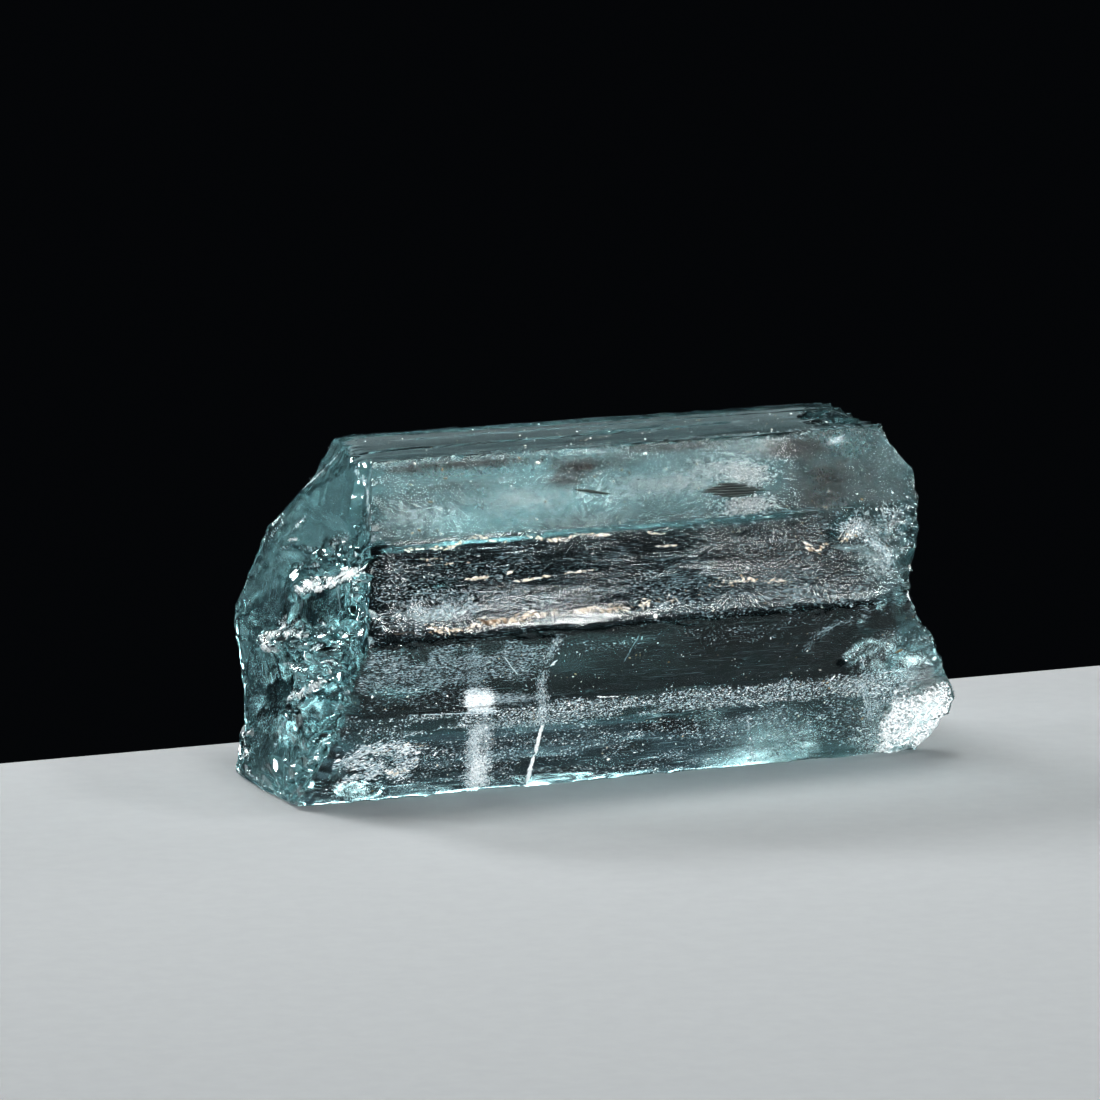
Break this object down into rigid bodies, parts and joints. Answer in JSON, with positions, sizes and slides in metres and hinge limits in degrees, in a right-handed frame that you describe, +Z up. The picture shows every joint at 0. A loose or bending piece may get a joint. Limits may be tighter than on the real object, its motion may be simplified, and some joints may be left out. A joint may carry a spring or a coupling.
{
  "type": "beryl crystal",
  "caption": "Clear blue-green hexagonal prism of beryl, broken at both ends, with etched ridges and growth ledges, lying on a prism face.",
  "frame": {"origin": "middle of the prism face that the crystal rests on", "axes": "+X along the prism, from the slanting break to the knobbly break; -Y is the front; +Z up"},
  "size_m": [0.0263, 0.0144, 0.0121],
  "materials": {
    "beryl": "clear blue-green beryl, glassy on the faces and frosted where etched or broken",
    "iron_stain": "matt tan and rusty film of iron stain in the etched ledges",
    "dust": "matt pale mineral grains and lint",
    "inclusion": "dark mineral needles inside the stone"
  },
  "bodies": {
    "root": {"beryl_crystal": "beryl"}
  },
  "joints": []
}
